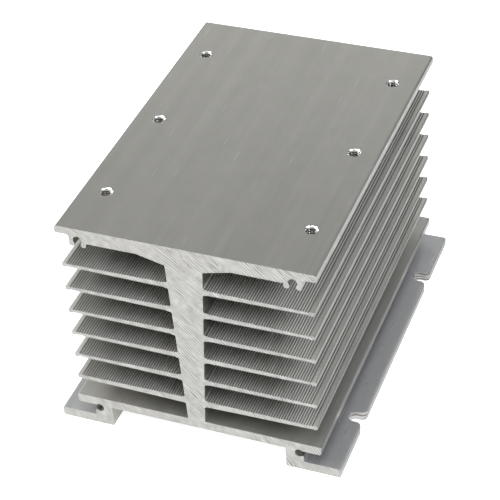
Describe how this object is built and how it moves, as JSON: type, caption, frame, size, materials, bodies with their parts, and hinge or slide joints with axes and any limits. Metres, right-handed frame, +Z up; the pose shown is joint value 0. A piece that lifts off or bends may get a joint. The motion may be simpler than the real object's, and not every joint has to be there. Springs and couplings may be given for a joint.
{
  "type": "heat sink",
  "caption": "Extruded aluminium heat sink: tapped top plate on a tapering stem with level serrated fins, a base plate, slotted feet and fan screw channels.",
  "frame": {"origin": "middle of the footprint, on the floor under the feet", "axes": "+X across to the right as seen from the front end, +Y along the bar from the front end to the back end, +Z up to the module face"},
  "size_m": [0.1468, 0.19, 0.122],
  "materials": {
    "aluminium": "bare extruded aluminium, dull and faintly streaked along the bar, with bright sawn ends"
  },
  "bodies": {
    "root": {"heat_sink": "aluminium"}
  },
  "joints": []
}
